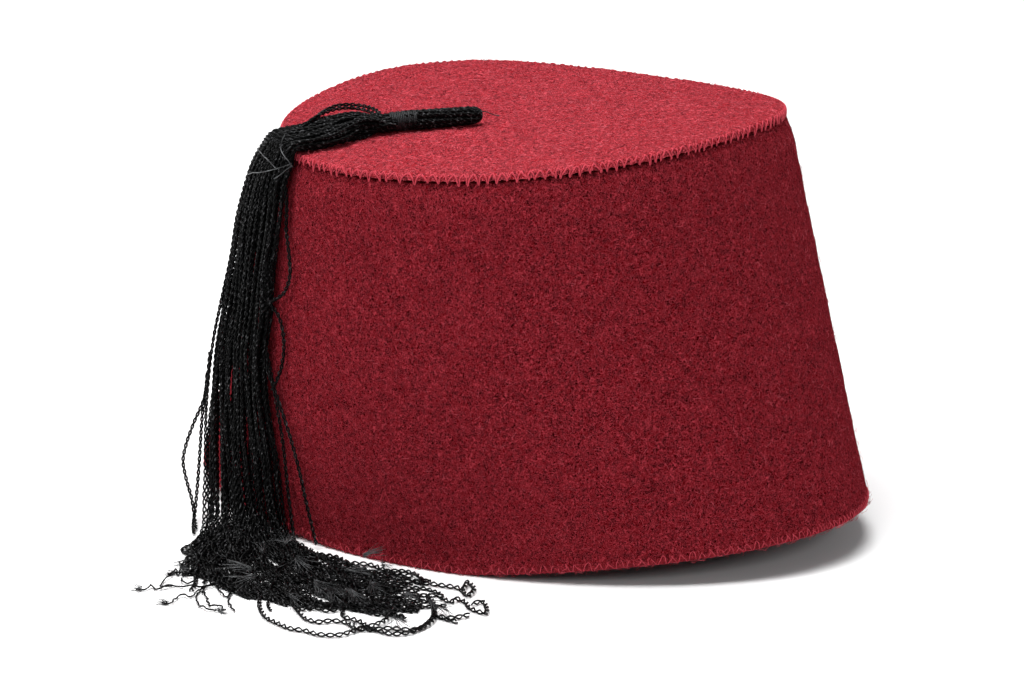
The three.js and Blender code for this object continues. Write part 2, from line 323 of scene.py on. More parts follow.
# The section's rows, as a share of the height and a depth into the felt: rounded cut edge, outside,
# rounded top, inside, rounded cut edge
profile = np.concatenate([
    np.stack([0.008 * (1 - np.cos(quarter)), 1 - np.sin(quarter)], -1),
    np.stack([np.linspace(0.02, 0.985, outside_rows), np.zeros(outside_rows)], -1),
    np.stack([0.985 + 0.015 * np.sin(quarter[1:]), 0.25 * (1 - np.cos(quarter[1:]))], -1),
    np.stack([np.linspace(1.0, 0.02, inside_rows), np.full(inside_rows, felt_thickness)], -1),
    np.stack([0.008 * (1 - np.sin(quarter)), felt_thickness - 1 + np.cos(quarter)], -1),
])
turns, shares = np.meshgrid(around, profile[:, 0])
_, depths = np.meshgrid(around, profile[:, 1])
# Between two stitches the wall's top edge draws in and down, which leaves a pit under the seam
between_stitches = (1 + np.cos(turns * stitches_round)) / 2
near_top = np.clip((shares - 0.98) / 0.01, 0, 1) * np.clip(1.5 - depths, 0, 1)
wall = wall_point(turns, shares, -depths - near_top * 0.5 * between_stitches * (shares > 0.99))
outside = np.clip(1 - depths, 0, 1) * np.clip(shares * 20, 0, 1)
wall += wall_outward(turns) * (outside * 0.1 * waves(wall, 60, 18.0, 3.0))[..., None]
wall[..., 2] -= near_top * 0.6 * between_stitches
wall_faces = [grid_faces(len(profile), len(around), True)]
side_wall = add_piece("felt_side_wall", wall, wall_faces, side_felt, "side_felt", ["side_wall"])
cut_edge = np.clip(1.2 - shares * 60.0, 0, 1).ravel().astype(np.float32)
side_wall.data.attributes.new("cut_edge", "FLOAT", "POINT").data.foreach_set("value", cut_edge)

# Top: a disc cut from the same felt and laid on the wall's top edge. The seam pulls its edge down into small
# scallops.
disc_rows = 34
# The top's felt colours are painted lighter than the side's, for the light that falls on the top
top_felt = felt(
    "top_felt",
    body=(0.33, 0.008, 0.014, 1.0),
    painted_pit_shade=(0.045, 0.0012, 0.0024, 1.0),
    highlight_and_cut_colour=(0.77, 0.1, 0.13, 1.0),
)


def disc_point(turn, share, drop):
    """A share of the way from the crown's middle to its outline, at a drop below the top face."""
    edge = crown_point(turn, 0.0, 0.0)
    x = crown_x + (edge[..., 0] - crown_x) * share
    y = crown_y + (edge[..., 1] - crown_y) * share
    return np.stack([x, y, crown_height(x, y) - drop], -1)


def pole_faces(ring, count, pole, turned):
    """Fan of triangles from one ring of a grid to a point at its middle."""
    here = ring * count + np.arange(count)
    after = ring * count + (np.arange(count) + 1) % count
    fan = [np.full(count, pole), after, here] if turned else [np.full(count, pole), here, after]
    return np.stack(fan, -1)


# The section's rows, as a share of the way to the outline and a drop: top face, rounded edge, lower face
disc_profile = np.concatenate([
    np.stack([0.982 - 0.95 * np.linspace(1.0, 0.0, disc_rows) ** 1.4, np.zeros(disc_rows)], -1),
    np.stack([0.982 + 0.018 * np.sin(quarter[1:]), 0.9 * (1 - np.cos(quarter[1:]))], -1),
    np.array([[1.0, 1.5], [1.0, 1.9], [0.998, 2.15], [0.99, 2.2], [0.94, 2.2], [0.6, 2.2], [0.1, 2.2]]),
])
turns, shares = np.meshgrid(around, disc_profile[:, 0])
_, drops = np.meshgrid(around, disc_profile[:, 1])
disc = disc_point(turns, shares, drops)
on_top = np.clip(1 - drops / 0.9, 0, 1)
disc[..., 2] += on_top * 0.12 * waves(disc, 60, 25.0, 3.0)
scallop = np.clip((shares - 0.975) / 0.02, 0, 1) * np.clip(drops, 0, 1)
disc[..., 2] += scallop * 0.3 * (1 + np.cos(turns * stitches_round)) / 2
middles = [disc[0].mean(0), disc[-1].mean(0)]
rings = len(disc_profile)
disc_faces = [
    grid_faces(rings, len(around), False),
    pole_faces(0, len(around), rings * len(around), True),
    pole_faces(rings - 1, len(around), rings * len(around) + 1, False),
]
disc_faces = [part[:, ::-1] for part in disc_faces]
disc_points = np.concatenate([disc.reshape(-1, 3), middles])
add_piece("felt_top", disc_points, disc_faces, top_felt, "top_felt", ["top_disc"])

# Crown seam: one red thread in a close zigzag over the disc's edge, which holds it down on the wall. Its
# points enter the wall a little below the edge, and some stitches stand askew or crowd together.
seam_thread_radius = 0.23


def curve_through(stations, count):
    """Smooth curves, one through each row of stations, with evenly spread points. Each span is a cubic
    whose slope at a station is that of the parabola through it and its two neighbours."""
    curves = []
    for row in stations:
        gaps = np.linalg.norm(np.diff(row, axis=0), axis=1)
        at = np.concatenate([[0.0], np.cumsum(gaps)])
        slope = np.gradient(row, at, axis=0, edge_order=1)
        fine = np.linspace(0.0, at[-1], count * 2)
        span = np.clip(np.searchsorted(at, fine, side="right") - 1, 0, len(at) - 2)
        width = (at[span + 1] - at[span])[:, None]
        t = (fine - at[span])[:, None] / width
        curve = (
            (2 * t**3 - 3 * t**2 + 1) * row[span]
            + (t**3 - 2 * t**2 + t) * width * slope[span]
            + (3 * t**2 - 2 * t**3) * row[span + 1]
            + (t**3 - t**2) * width * slope[span + 1]
        )
        length = np.concatenate([[0.0], np.cumsum(np.linalg.norm(np.diff(curve, axis=0), axis=1))])
        even = np.linspace(0.0, length[-1], count)
        curves.append(np.stack([np.interp(even, length, curve[:, k]) for k in range(row.shape[1])], -1))
    return np.array(curves)


def tubes(paths, away, radius, sides):
    """Round tubes along paths, closed at both ends. Each ring is a circle square to its path, which starts
    on the side given by away."""
    forward = np.gradient(paths, axis=1)
    forward /= np.linalg.norm(forward, axis=-1, keepdims=True)
    out = away - (away * forward).sum(-1, keepdims=True) * forward
    out /= np.linalg.norm(out, axis=-1, keepdims=True)
    side = np.cross(forward, out)
    turn = np.arange(sides) * 2 * np.pi / sides
    circle = np.cos(turn)[:, None] * out[:, :, None] + np.sin(turn)[:, None] * side[:, :, None]
    radius = np.broadcast_to(radius, paths.shape[:2])[..., None, None]
    rings = paths[:, :, None] + radius * circle
    count, steps = paths.shape[:2]
    ends = paths[:, [0, -1]]
    points = np.concatenate([rings.reshape(count, -1, 3), ends], 1)
    each = steps * sides + 2
    first = (np.arange(count) * each)[:, None, None]
    walls = grid_faces(steps, sides, False)[None] + first
    start = pole_faces(0, sides, steps * sides, True)[None] + first
    end = pole_faces(steps - 1, sides, steps * sides + 1, False)[None] + first
    return points.reshape(-1, 3), [walls.reshape(-1, 4), start.reshape(-1, 3), end.reshape(-1, 3)]


thread_red, dye = new_material("thread_red", {"Roughness": 0.8, "Specular IOR Level": 0.1})
place = dye.node("ShaderNodeTexCoord", {}, {}, "Object")
strands = place.noise(2500.0, 1.0)
dress(thread_red, "Base Color", strands.blend((0.3, 0.016, 0.028, 1.0), (0.66, 0.08, 0.11, 1.0)))
dress(thread_red, "Normal", strands.bump(0.5, 0.0002))

# One stitch goes from the top face over the edge, down to a hole in the wall, and back up. The rows give
# a share of the stitch's width, a distance out from the crown's outline, and a drop below its top face.
one_stitch = np.array([
    [0.00, -0.5, 0.1],
    [0.15, 0.0, 0.35],
    [0.30, 0.17, 0.9],
    [0.42, 0.2, 1.9],
    [0.50, 0.1, 2.75],
    [0.58, 0.2, 1.9],
    [0.70, 0.17, 0.9],
    [0.85, 0.0, 0.35],
])
stitch = np.arange(stitches_round)[:, None]
at_hole = np.abs(one_stitch[:, 0] - 0.5) < 0.1
slant = random.normal(size=(stitches_round, 1)) * 0.13 * at_hole
crowded = 0.25 * np.sin(stitch * 0.9) * np.clip(np.sin(stitch * 0.11), 0, 1)
stitch_turn = np.pi + (stitch + one_stitch[:, 0] + slant + crowded) * 2 * np.pi / stitches_round
stitch_drop = one_stitch[:, 2] + random.normal(size=(stitches_round, 1)) * 0.25 * at_hole
stitch_out = np.broadcast_to(one_stitch[:, 1], stitch_turn.shape)
seam_stations = crown_point(stitch_turn, stitch_out, stitch_drop).reshape(1, -1, 3)
seam_path = curve_through(seam_stations, stitches_round * 20)
seam_away = seam_path - np.array([crown_x, crown_y, 100.0])
add_piece("crown_seam_thread", *tubes(seam_path, seam_away, seam_thread_radius, 4), thread_red, "top_felt")

# Rim stitches: a fine red thread overcast round the cut edge of the head opening. It runs in an open zigzag
# that sinks into the felt here and there.
rim_stitch_count = 208
rim_thread_radius = 0.13
# The rows give a share of the stitch's width, a height above the cut edge and a distance out of the felt
rim_stitch = np.array([
    [0.00, 2.6, -0.12],
    [0.12, 2.1, 0.1],
    [0.34, 0.8, 0.14],
    [0.50, -0.1, -0.9],
    [0.66, 0.8, 0.14],
    [0.88, 2.1, 0.1],
])
stitch = np.arange(rim_stitch_count)[:, None]
at_top = rim_stitch[:, 1] > 1.5
rim_slant = 0.2 * np.sin(stitch * 1.9) * at_top
rim_turn = np.pi + (stitch + rim_stitch[:, 0] + rim_slant) * 2 * np.pi / rim_stitch_count
rim_height = rim_stitch[:, 1] + 0.5 * np.sin(stitch * 2.7) * at_top
rim_out = rim_stitch[:, 2] + 0.12 * np.sin(stitch * 0.83)
rim_stations = wall_point(rim_turn, rim_height / crown_top, 0.0)
rim_stations = rim_stations + wall_outward(rim_turn) * rim_out[..., None]
rim_path = curve_through(rim_stations.reshape(1, -1, 3), rim_stitch_count * 12)
rim_path[..., 2] = np.maximum(rim_path[..., 2], rim_thread_radius)
rim_away = rim_path * np.array([1.0, 1.0, 0.0])
add_piece("rim_stitches", *tubes(rim_path, rim_away, rim_thread_radius, 4), thread_red, "side_felt")

# Tassel cords: black rayon, two plies twisted together, about sixty ends. They leave the bound neck, fan
# out over the top, hang down the wall five layers deep and end in a loose pile on the surface.
cord_count, layer_count = 60, 5
cords_a_piece = 20
ply_radius = 0.28
cord_thickness = 1.1
full_turn, degrees_a_radian = 6.28, 57.3
# From the neck over the crown: the run's middle in plan, its half width, and the height of a layer
crown_run = np.array([
    [-31.1, 23.8], [-33.6, 26.9], [-38.2, 32.4], [-42.6, 36.2], [-47.0, 39.8], [-50.8, 42.9],
])
crown_spread = np.array([0.0, 2.3, 4.6, 6.8, 8.4, 9.2])
crown_layer = np.array([0.9, 0.9, 1.12, 1.0, 0.85, 0.7])
# Down the wall, at shares of its height: the bundle's two sides in degrees round the hat, and how far its
# left side hangs clear of the wall
wall_rows = np.array([0.99, 0.94, 0.87, 0.78, 0.68, 0.57, 0.46, 0.35, 0.25, 0.16, 0.07])
left_heights = [0.07, 0.17, 0.42, 0.65, 0.8, 0.92, 1.0]
wall_left = np.interp(wall_rows, left_heights, [234, 231, 224.7, 218.3, 213.5, 213.5, 217])
left_room = np.interp(wall_rows, left_heights, [9.0, 8.0, 5.8, 2.4, 1.8, 0.8, 0.3])
right_heights = [0.08, 0.21, 0.46, 0.71, 0.8, 0.95, 1.0]
wall_right = np.interp(wall_rows, right_heights, [246, 242.5, 236.5, 236, 236.5, 236.5, 237.5])


def unit(vectors):
    """Each vector over its own length."""
    return vectors / np.linalg.norm(vectors, axis=-1, keepdims=True)


def drift(count, places, reach, size):
    """Slow random sway for each cord: the sum of three sine waves over its places, about as large as size."""
    wave = random.random((count, 3, 1)) * 0.6 + 0.7
    phase = random.random((count, 3, 1)) * 2 * np.pi
    swing = np.sin(2 * np.pi * np.asarray(places) / (reach * wave) + phase)
    return swing.sum(1) * size / 1.7


def hat_clear(points, room):
    """Moves points that are inside the wall's outline at their height, grown by room, straight out of it."""
    shoulder = crown_radius + shoulder_reach
    share = np.clip(points[..., 2] / crown_top, 0, 1)
    half_width = rim_half_width + (shoulder - rim_half_width) * share + room
    half_length = rim_half_length + (shoulder - rim_half_length) * share + room
    inside = np.abs(points[..., 0] / half_width) ** rim_roundness
    inside = inside + np.abs(points[..., 1] / half_length) ** rim_roundness
    grow = np.where(inside < 1, np.maximum(inside, 0.2) ** (-1 / rim_roundness), 1.0)
    moved = points.copy()
    moved[..., :2] *= grow[..., None]
    return moved


def settle(paths, held, rounds=60):
    """Lets cords lie on each other: too close points push apart, each keeps its distance to the next along
    its cord and moves towards the middle of its neighbours, all sink a little, and none enters the hat or the
    surface. Held points stay."""
    loose_height, near_enough = 30.0, 3.0
    push_share, pull_share, bend_share = 0.35, 0.6, 0.12
    sink, sink_height = 0.06, 25.0
    wall_room, floor_room = 0.9, 0.62
    rest = np.linalg.norm(np.diff(paths, axis=1), axis=2, keepdims=True)
    cord, place = np.indices(paths.shape[:2])
    free = (~held)[..., None].astype(float)
    loose = np.argwhere((paths[..., 2] < loose_height).ravel())[:, 0]
    for turn in range(rounds):
        if turn % 8 == 0:
            # Places from the pile's middle, which small floats hold closely enough
            near = (paths.reshape(-1, 3)[loose] + [90.0, -20.0, 0.0]).astype(np.float32)
            squares = (near**2).sum(1)
            gaps = squares[:, None] + squares - 2 * near @ near.T
            first, second = np.nonzero(np.triu(gaps < near_enough**2, 1))
            first, second = loose[first], loose[second]
            apart = (cord.ravel()[first] != cord.ravel()[second]) | (
                np.abs(place.ravel()[first] - place.ravel()[second]) > 4
            )
            first, second = first[apart], second[apart]
        flat = paths.reshape(-1, 3)
        between = flat[second] - flat[first]
        gap = np.maximum(np.linalg.norm(between, axis=1, keepdims=True), 0.01)
        push = np.maximum(cord_thickness - gap, 0) * push_share * between / gap
        move = np.zeros_like(flat)
        np.add.at(move, first, -push)
        np.add.at(move, second, push)
        moved = paths + np.clip(move.reshape(paths.shape), -0.5, 0.5) * free
        moved[..., 2] -= sink * free[..., 0] * (moved[..., 2] < sink_height)
        for _ in range(2):
            step = np.diff(moved, axis=1)
            length = np.maximum(np.linalg.norm(step, axis=2, keepdims=True), 0.01)
            pull = 0.5 * (length - rest) * step / length
            moved[:, :-1] += pull_share * pull * free[:, :-1]
            moved[:, 1:] -= pull_share * pull * free[:, 1:]
        bend = 0.5 * (moved[:, 2:] + moved[:, :-2]) - moved[:, 1:-1]
        moved[:, 1:-1] += bend_share * bend * free[:, 1:-1]
        moved = np.where(held[..., None], paths, hat_clear(moved, wall_room))
        moved[..., 2] = np.maximum(moved[..., 2], floor_room)
        paths = moved
    return paths


def twisted(paths, away, opening, first_turn):
    """Two plies that wind round each path, half a turn apart. Their distance from the path and the length
    of a turn grow with opening, from 0 for a tight cord to 1 for a slack one with open eyes."""
    lengths = np.linalg.norm(np.diff(paths, axis=1), axis=2)
    pitch = 3.8 + 1.4 * opening
    turn = np.cumsum(2 * np.pi * np.concatenate([lengths[:, :1] * 0, lengths], 1) / pitch, axis=1)
    turn = (turn + first_turn)[..., None]
    forward = unit(np.gradient(paths, axis=1))
    out = unit(away - (away * forward).sum(-1, keepdims=True) * forward)
    side = np.cross(forward, out)
    offset = (0.30 + 0.24 * opening)[..., None] * (np.cos(turn) * out + np.sin(turn) * side)
    return np.concatenate([paths + offset, paths - offset]), np.concatenate([away, away])


black_cord, dye = new_material("black_rayon", {"Roughness": 0.3, "Specular IOR Level": 0.08})
place = dye.node("ShaderNodeTexCoord", {}, {}, "Object")
filaments = place.noise(3200.0, 2.0)
glints = ((place.noise(1300.0, 1.0) - 0.6) * 12.0).clamped()
dark = filaments.blend((0.0003, 0.0003, 0.0004, 1.0), (0.0018, 0.0018, 0.0019, 1.0))
dress(black_cord, "Base Color", glints.blend(dark, (0.065, 0.065, 0.068, 1.0)))
dress(black_cord, "Roughness", filaments * 0.3 + 0.2)
dress(black_cord, "Normal", filaments.bump(0.4, 0.0002))

# Each cord has a place across the tassel from -1 to 1, and one of five layers. In the neck the cords fill a
# round, each a golden angle on from the one before.
golden_angle, neck_radius = 2.39996, 1.75
number = np.arange(cord_count)
across = np.linspace(0.0, 1.0, cord_count) ** 1.15 * 2 - 1 + random.normal(size=cord_count) * 0.012
layer = np.array([0, 3, 1, 4, 2])[number % layer_count] * 1.0
neck_turn = number * golden_angle
neck_place = neck_radius * np.sqrt((number + 0.5) / cord_count)
neck_order = np.argsort(neck_place * np.cos(neck_turn))
neck_side = (neck_place * np.cos(neck_turn))[neck_order]
neck_lift = (neck_place * np.sin(neck_turn))[neck_order]

run_forward = unit(crown_run[4] - crown_run[1])
run_side = np.array([-run_forward[1], run_forward[0]])
sideways = across[:, None] * crown_spread + (neck_side[:, None] * [1.0, 0.75, 0.2, 0, 0, 0])
sideways += drift(cord_count, np.arange(6), 4.0, 0.7) * [0, 0.3, 1, 1, 1, 0.6]
on_crown = crown_run[None] + sideways[..., None] * run_side
lift = 0.75 + np.maximum(layer[:, None] + drift(cord_count, np.arange(6), 4.0, 0.35), 0.0) * crown_layer
lift[:, :2] = 3.0 + neck_lift[:, None] * [1.0, 1.2]
crown_z = crown_height(on_crown[..., 0], on_crown[..., 1]) + lift
crown_stations = np.concatenate([on_crown, crown_z[..., None]], -1)
crown_away = np.broadcast_to([0.0, 0.0, 1.0], crown_stations.shape)

# Over the edge, 7.6 degrees to each side of its middle, and down the wall
edge_turn = np.radians(230.0) + across * 7.6 / degrees_a_radian
edge_away = unit(wall_outward(edge_turn) + np.array([0.0, 0.0, 1.0]))
edge_stations = crown_point(edge_turn, 0.0, 0.0) + edge_away * (1.2 + layer * 0.65)[:, None]

wander = across[:, None] + random.normal(size=(cord_count, 1)) * np.linspace(0.01, 0.07, len(wall_rows))
wall_share = (1 + wander + drift(cord_count, wall_rows, 0.45, 0.06)) / 2
wall_turn = np.radians(wall_left + (wall_right - wall_left) * wall_share)
stand = 0.8 + left_room * np.clip(1 - wall_share, 0, 1.1) + layer[:, None] * 1.0
stand = stand + np.abs(drift(cord_count, wall_rows, 0.5, 0.3))
wall_stations = wall_point(wall_turn, np.broadcast_to(wall_rows, wall_turn.shape), 0.0)
wall_away = wall_outward(wall_turn)
wall_stations = wall_stations + wall_away * stand[..., None]

# From the foot a cord runs straight out, then bends towards its tip, along a cubic with four control points
left_foot, right_foot = np.array([-80.0, 61.0, 0.0]), np.array([-71.5, 36.0, 0.0])
foot_out = unit(np.array([-0.8, -0.5, 0.0]) + np.array([0.0, 0.35, 0.0]) * np.clip(-wander[:, -1:], -1, 1))
foot = left_foot + (right_foot - left_foot) * wall_share[:, -1:] + foot_out * (layer - 1.0)[:, None]
foot[:, 2] = 1.2 + 0.8 * layer
# The table gives a place across the tassel, the tip's x and y there, and how far the cord bows to its left
tips = np.array([
    [-1.0, -108, 40, 2], [-0.86, -112, 33, 3], [-0.7, -114, 24, 7], [-0.54, -115, 15, 9],
    [-0.38, -114, 6, 11], [-0.22, -112, -4, 12], [-0.06, -110, -12, 14], [0.1, -105, -22, 14],
    [0.26, -99, -27, 13], [0.42, -99, -17, 12], [0.58, -92, -20, 9], [0.74, -90, -10, 9],
    [0.88, -85, -13, 6], [1.0, -83, 2, 4],
])
tip_x, tip_y, bow = [np.interp(across, tips[:, 0], column) for column in tips[:, 1:].T]
tip = np.stack([tip_x, tip_y], -1) + random.normal(size=(cord_count, 2)) * [3.0, 5.0]
heading = unit(tip - foot[:, :2])
left = np.stack([heading[:, 1], -heading[:, 0]], -1)
length = np.linalg.norm(tip - foot[:, :2], axis=1)[:, None]
first = foot[:, :2] + foot_out[:, :2] * (4.0 + 0.15 * length)
last = tip - heading * length * 0.3 + left * bow[:, None] * 1.3
share = np.linspace(0.0, 1.0, 11)[1:]
weights = np.stack([(1 - share)**3, 3 * share * (1 - share)**2, 3 * share**2 * (1 - share), share**3])
pile = np.einsum("kp,ckx->cpx", weights, np.stack([foot[:, :2], first, last, tip], 1))
sway = drift(cord_count, share * 62.0, 36.0, 4.5) * np.minimum(1.0, 1.8 * share)
pile = pile + left[:, None] * sway[..., None]
pile_z = 0.8 + (layer[:, None] + random.random((cord_count, 1))) * 1.0 * (1 - 0.5 * share)
pile_stations = np.concatenate([pile, pile_z[..., None]], -1)
floor_away = np.broadcast_to([0.0, 0.0, 1.0], pile_stations.shape)

cord_stations = np.concatenate(
    [crown_stations, edge_stations[:, None], wall_stations, foot[:, None], pile_stations], 1
)
foot_away = unit(foot_out + [0, 0, 1.0])
cord_aways = np.concatenate([crown_away, edge_away[:, None], wall_away, foot_away[:, None], floor_away], 1)
# A curve carries its sideways direction along in three more columns. What hangs above held_above stays, and
# some cords' plies open up from slack_height down.
coarse_points, fine_points = 240, 450
held_above, slack_height = 22.0, 30.0
both = curve_through(np.concatenate([cord_stations, cord_aways * 3.0], -1), coarse_points)
cord_paths, cord_away = both[..., :3], both[..., 3:]
cord_paths = settle(cord_paths, cord_paths[..., 2] > held_above)
both = curve_through(np.concatenate([cord_paths, cord_away], -1), fine_points)
cord_paths, cord_away = both[..., :3], both[..., 3:]
slackness = random.random((cord_count, 1)) ** 2
opening = slackness * np.clip((slack_height - cord_paths[..., 2]) / slack_height, 0, 1)
first_turn = random.random((cord_count, 1)) * full_turn
ply_paths, ply_away = twisted(cord_paths, cord_away, opening, first_turn)
for part, name in enumerate(("tassel_cords_left", "tassel_cords_middle", "tassel_cords_right")):
    cords = number[part * cords_a_piece:(part + 1) * cords_a_piece]
    chosen = np.concatenate([cords, cord_count + cords])
    points, faces = tubes(ply_paths[chosen], ply_away[chosen], ply_radius, 4)
    add_piece(name, points, faces, black_cord, "tassel_cord", ["tassel"])

# Hank: the same cords doubled into loops above the binding. Each loop lies in an upright plane and turns
# back at the fold; the planes lie side by side, and the whole hank twists a little.


def joined(parts):
    """One mesh from several pairs of points and lists of faces."""
    starts = np.cumsum([0] + [len(points) for points, _ in parts])
    faces = [face + start for (_, lists), start in zip(parts, starts) for face in lists]
    return np.concatenate([points for points, _ in parts]), faces


loop_count, loop_points = 15, 100
hank_lift = 3.05
fold = np.array([-17.4, 5.3])
neck = crown_run[0]
hank_side = np.array([-(neck - fold)[1], (neck - fold)[0]]) / np.linalg.norm(neck - fold)
# Eight outer loops and seven inner ones: their places across the hank, and half their heights
loop_side = np.array([-2.1, -1.55, -0.95, -0.3, 0.35, 1.0, 1.6, 2.15, -1.9, -1.3, -0.7, -0.1, 0.6, 1.2, 1.9])
inner = np.arange(loop_count) > 7
loop_half = np.sqrt(np.maximum(2.35**2 - loop_side**2, 0.3)) * np.where(inner, 0.45, 1.0)
# Along a loop: the share of the way from fold to neck, the side from 1 above to -1 below, and the turn back
there = np.concatenate([np.linspace(1.0, 0.12, 9), np.full(5, 0.0), np.linspace(0.12, 1.0, 9)])
over = np.concatenate([np.ones(9), np.cos(np.linspace(0.25, np.pi - 0.25, 5)), -np.ones(9)])
tuck = np.concatenate([np.zeros(9), np.sin(np.linspace(0.25, np.pi - 0.25, 5)), np.zeros(9)])
hank_length = np.linalg.norm(neck - fold)
short = (1 - np.sqrt(1 - (loop_side / 2.9) ** 2)) * 2.6 + 1.0 * inner
along = short[:, None] + loop_half[:, None] * (1.0 - tuck) * (there < 0.01)
along = along + there * (hank_length - short[:, None])
waist = 0.86 + 0.14 * np.sin(np.clip(there * 1.6, 0, np.pi))
spin = 0.5 * there
flat_side = loop_side[:, None] * waist + drift(loop_count, there * hank_length, 9.0, 0.18)
flat_lift = loop_half[:, None] * over * waist
hank_across = flat_side * np.cos(spin) - flat_lift * np.sin(spin)
hank_up = flat_side * np.sin(spin) + flat_lift * np.cos(spin)
hank_plan = fold + (neck - fold) / hank_length * along[..., None] + hank_side * hank_across[..., None]
hank_z = crown_height(hank_plan[..., 0], hank_plan[..., 1]) + hank_lift + hank_up
hank_stations = np.concatenate([hank_plan, hank_z[..., None]], -1)
hank_middle = fold + (neck - fold) / hank_length * (along[..., None] * 0.97 + 0.4)
hank_away = hank_stations - np.concatenate([hank_middle, (hank_z - hank_up)[..., None]], -1)
both = curve_through(np.concatenate([hank_stations, hank_away], -1), loop_points)
tight = np.zeros((loop_count, loop_points))
first_turn = random.random((loop_count, 1)) * full_turn
ply_paths, ply_away = twisted(both[..., :3], both[..., 3:], tight, first_turn)
# A plain core fills the hank's middle
core_share = np.linspace(0.12, 1.0, 12)
core_plan = fold + (neck - fold) * core_share[:, None]
core_z = crown_height(core_plan[:, 0], core_plan[:, 1]) + hank_lift
core_path = np.concatenate([core_plan, core_z[:, None]], -1)[None]
core_radius = (1.25 + 0.45 * np.sin(np.clip(core_share * 2.2, 0, np.pi)))[None]
core = tubes(core_path, np.array([0.0, 0.0, 1.0]) + 0 * core_path, core_radius, 10)
points, faces = joined([tubes(ply_paths, ply_away, ply_radius + 0.04, 5), core])
add_piece("tassel_hank", points, faces, black_cord, "tassel_cord", ["tassel"])

# Binding: black sewing thread, wound fifteen times round the neck, where it gathers the cords into a tassel.
# Its rounds lie side by side in a slightly uneven spiral.
binding_rounds = 15
binding_lift, binding_radius = 3.1, 2.62
binding_thread_radius = 0.24
binding_thread, dye = new_material("black_thread", {"Roughness": 0.5, "Specular IOR Level": 0.25})
place = dye.node("ShaderNodeTexCoord", {}, {}, "Object")
strands = place.noise(4000.0, 1.0)
dress(binding_thread, "Base Color", strands.blend((0.004, 0.004, 0.0045, 1.0), (0.03, 0.032, 0.034, 1.0)))
dress(binding_thread, "Normal", strands.bump(0.5, 0.0002))
wound = np.linspace(0.0, 1.0, binding_rounds * 20)
bound_from, bound_to = np.array([-28.6, 20.8]), np.array([-33.6, 26.8])
spool = bound_from + (bound_to - bound_from) * wound[:, None]
spool_z = crown_height(spool[:, 0], spool[:, 1]) + binding_lift
angle = wound * binding_rounds * 2 * np.pi
radius = binding_radius + 0.12 * np.sin(wound * 31.0)
bound_side = unit(np.array([-(bound_to - bound_from)[1], (bound_to - bound_from)[0]]))
thread_path = np.concatenate([
    spool + bound_side * (radius * np.cos(angle))[:, None], (spool_z + radius * np.sin(angle))[:, None]
], -1)[None]
thread_away = thread_path - np.concatenate([spool, spool_z[:, None]], -1)[None]
points, faces = tubes(thread_path, thread_away, binding_thread_radius, 6)
add_piece("neck_binding", points, faces, binding_thread, "binding_thread", ["tassel_binding"])

# Loose cords: ends that strayed out of the tassel. Some lie round the pile in open loops, some hang beside
# the bundle, and two bow up over the fan. A route follows a cord's middle, in plan where it lies.
loose_ply_radius = 0.27
lying_height = 0.85
lying = [
    [[-84.2, -11.6], [-83.1, -16.6], [-82.7, -20.4], [-82.3, -24.4], [-82.7, -26], [-77.2, -24.8],
     [-80.9, -29.1], [-86.3, -30.2], [-83.4, -26.4]],
    [[-91.2, -24.3], [-92.8, -29], [-90.3, -29.2], [-91.1, -32], [-94.8, -35.9], [-96, -41.7],
     [-92.5, -39.9], [-88.9, -36], [-91.7, -34.8]],
    [[-104.5, -31.1], [-104.4, -35], [-99.6, -38.7]],
    [[-102.6, -28.6], [-104.9, -32.5], [-105.7, -37.1], [-106, -38.5]],
    [[-108.6, 26.3], [-114.3, 20.1], [-122.8, 14.1], [-128.6, 8], [-131, 2.3], [-132.4, -2.4],
     [-131.9, -6.1], [-132.4, -11.3], [-130, -16.3], [-125.7, -18], [-121.4, -19.2], [-122, -22.9],
     [-122.3, -28.6], [-119.2, -31.6], [-114.2, -32.6], [-108.5, -32.3], [-102.1, -29.2], [-95.4, -24.4],
     [-90.8, -20]],
    [[-115.4, 8.5], [-121, 2.2], [-124.3, -2.4], [-124.4, -6.1], [-121.9, -8.6], [-121, -12.1],
     [-123.7, -17.8], [-122.5, -21.5], [-119.3, -25.2], [-116.7, -31.7], [-108.8, -31.7],
     [-100.3, -27.8], [-93.5, -21.8]],
    [[-112.8, 8.9], [-117.7, 2.8], [-115.6, 0.9], [-115.6, -3.4], [-112.8, -5.7], [-117.7, -10],
     [-118.1, -13.2], [-118.8, -16], [-120.4, -19.5], [-116, -20.9], [-109.3, -19.9]],
    [[-103.9, -3.6], [-108.2, -10.2], [-111.4, -14.7], [-111, -17.7], [-109.3, -20.7], [-111.2, -25.5]],
    [[-74.9, 36.6], [-76.2, 31.7], [-77.3, 26.5], [-81.2, 17.5], [-80.4, 11.6], [-81.9, 7.4],
     [-84.2, 0.7], [-85.3, -4.1]],
    [[-77, 31.6], [-79, 25.5], [-77.5, 19.6], [-79.5, 12.8], [-77.9, 7.5], [-79.8, 0], [-81.2, -6.5],
     [-79.9, -8.6]],
    [[-84.4, 59.4], [-92, 54.5], [-97.4, 53.2], [-102.4, 50.8], [-104.9, 45.9]],
    [[-85.7, 56.7], [-91.1, 53.3], [-96.1, 47.8], [-103.2, 42.9]],
]
lying = [np.column_stack([route, np.full(len(route), lying_height)]) for route in lying]
